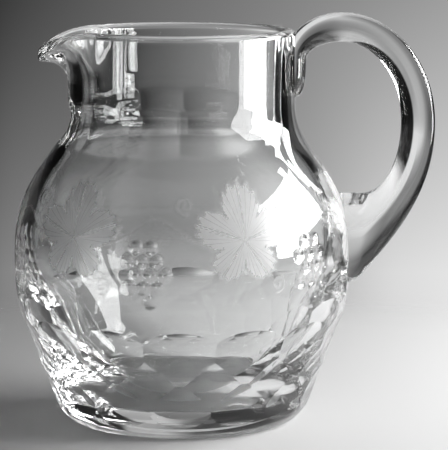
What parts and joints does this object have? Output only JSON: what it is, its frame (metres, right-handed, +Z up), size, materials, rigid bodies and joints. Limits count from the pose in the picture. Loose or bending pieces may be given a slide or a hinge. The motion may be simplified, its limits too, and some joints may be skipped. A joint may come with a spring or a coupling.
{
  "type": "cut glass pitcher",
  "caption": "Heavy clear glass pitcher with a bellied body, straight neck, pulled spout, fluted shoulder, faceted lower body, engraved vine band and a solid loop handle.",
  "frame": {"origin": "middle of the flat base, on the axis of the body", "axes": "+Z up along the axis of the body, +X from the axis towards the handle, so the spout points to -X"},
  "size_m": [0.2036, 0.1628, 0.198],
  "materials": {
    "body_glass": "clear lead crystal, fire-polished rim, polished cuts, matt wheel engraving in a band round the belly",
    "handle_glass": "clear lead crystal, smooth as drawn from the furnace"
  },
  "bodies": {
    "root": {"body": "body_glass", "handle": "handle_glass"}
  },
  "joints": []
}
